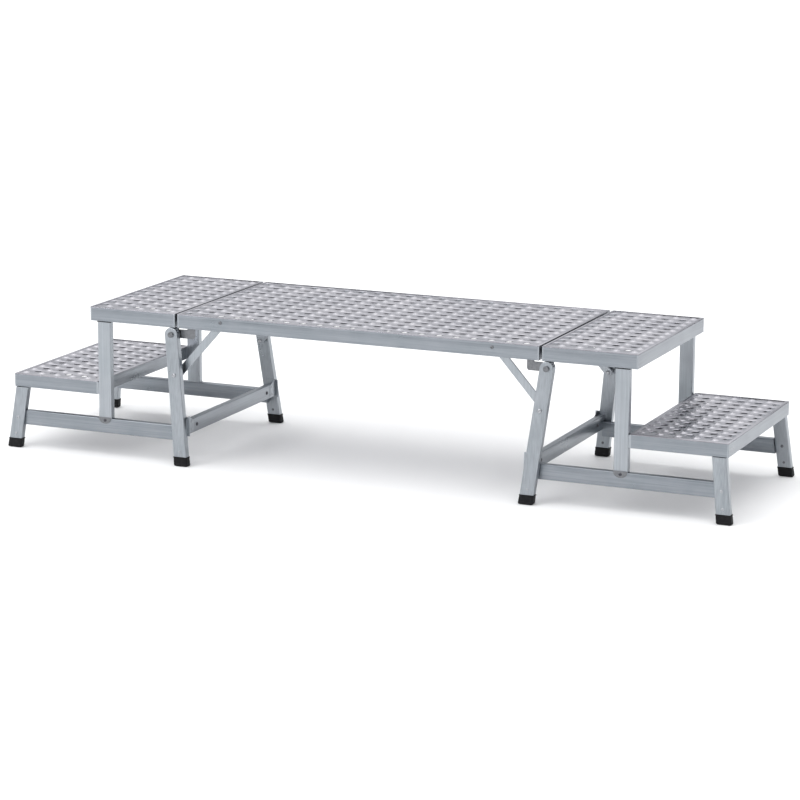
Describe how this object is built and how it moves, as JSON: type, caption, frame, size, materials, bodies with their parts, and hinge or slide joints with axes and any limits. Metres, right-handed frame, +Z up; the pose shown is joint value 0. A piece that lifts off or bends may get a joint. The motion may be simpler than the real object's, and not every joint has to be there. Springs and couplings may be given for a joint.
{
  "type": "work platform bench",
  "caption": "Low aluminium work platform with pressed anti-slip decks, a lower step at each end, leaning legs with black boots, and end modules that fold under the bridge.",
  "frame": {"origin": "centre of the footprint at floor level", "axes": "+X along the length, +Y towards the rear long side, +Z up from the floor"},
  "size_m": [2.4316, 0.7058, 0.48],
  "materials": {
    "rail": "satin, mill finish",
    "tread": "embossed anti-slip sheet, bright",
    "fitting": "zinc plated",
    "boot": "matt black moulded"
  },
  "bodies": {
    "bridge": {"bridge_front_rail": "rail", "bridge_left_end_rail": "rail", "bridge_middle_bearer": "rail", "bridge_rear_rail": "rail", "bridge_right_end_rail": "rail", "bridge_tread": "tread"},
    "right_module": {"right_cross_rail": "rail", "right_deck_front_rail": "rail", "right_deck_inner_rail": "rail", "right_deck_outer_rail": "rail", "right_deck_rear_rail": "rail", "right_deck_tread": "tread", "right_front_hinge_bracket": "fitting", "right_front_inner_boot": "boot", "right_front_inner_leg": "rail", "right_front_post": "rail", "right_front_step_boot": "boot", "right_front_step_leg": "rail", "right_front_stringer": "rail", "right_rear_hinge_bracket": "fitting", "right_rear_inner_boot": "boot", "right_rear_inner_leg": "rail", "right_rear_post": "rail", "right_rear_step_boot": "boot", "right_rear_step_leg": "rail", "right_rear_stringer": "rail", "right_step_front_rail": "rail", "right_step_inner_rail": "rail", "right_step_outer_rail": "rail", "right_step_rear_rail": "rail", "right_step_tread": "tread"},
    "left_module": {"left_cross_rail": "rail", "left_deck_front_rail": "rail", "left_deck_inner_rail": "rail", "left_deck_outer_rail": "rail", "left_deck_rear_rail": "rail", "left_deck_tread": "tread", "left_front_hinge_bracket": "fitting", "left_front_inner_boot": "boot", "left_front_inner_leg": "rail", "left_front_post": "rail", "left_front_step_boot": "boot", "left_front_step_leg": "rail", "left_front_stringer": "rail", "left_rear_hinge_bracket": "fitting", "left_rear_inner_boot": "boot", "left_rear_inner_leg": "rail", "left_rear_post": "rail", "left_rear_step_boot": "boot", "left_rear_step_leg": "rail", "left_rear_stringer": "rail", "left_step_front_rail": "rail", "left_step_inner_rail": "rail", "left_step_outer_rail": "rail", "left_step_rear_rail": "rail", "left_step_tread": "tread"},
    "left_front_brace_bar": {"left_front_brace": "fitting"},
    "left_rear_brace_bar": {"left_rear_brace": "fitting"},
    "right_front_brace_bar": {"right_front_brace": "fitting"},
    "right_rear_brace_bar": {"right_rear_brace": "fitting"}
  },
  "joints": [
    {"name": "right_module_fold", "type": "hinge", "parent": "bridge", "child": "right_module", "pos_m": [0.627, 0, 0.4115], "axis": [0, 1, 0], "range_deg": [0, 80]},
    {"name": "left_module_fold", "type": "hinge", "parent": "bridge", "child": "left_module", "pos_m": [-0.627, 0, 0.4115], "axis": [0, -1, 0], "range_deg": [0, 80]},
    {"name": "right_front_brace_fold", "type": "hinge", "parent": "bridge", "child": "right_front_brace_bar", "pos_m": [0.4534, -0.2869, 0.463], "axis": [0, 1, 0], "range_deg": [0, 128]},
    {"name": "right_rear_brace_fold", "type": "hinge", "parent": "bridge", "child": "right_rear_brace_bar", "pos_m": [0.4534, 0.2869, 0.463], "axis": [0, 1, 0], "range_deg": [0, 128]},
    {"name": "left_front_brace_fold", "type": "hinge", "parent": "bridge", "child": "left_front_brace_bar", "pos_m": [-0.4534, -0.2869, 0.463], "axis": [0, -1, 0], "range_deg": [0, 128]},
    {"name": "left_rear_brace_fold", "type": "hinge", "parent": "bridge", "child": "left_rear_brace_bar", "pos_m": [-0.4534, 0.2869, 0.463], "axis": [0, -1, 0], "range_deg": [0, 128]}
  ],
  "couplings": [
    {"joint": "right_front_brace_fold", "follows": "right_module_fold", "ratio": 1.6},
    {"joint": "right_rear_brace_fold", "follows": "right_module_fold", "ratio": 1.6},
    {"joint": "left_front_brace_fold", "follows": "left_module_fold", "ratio": 1.6},
    {"joint": "left_rear_brace_fold", "follows": "left_module_fold", "ratio": 1.6}
  ]
}
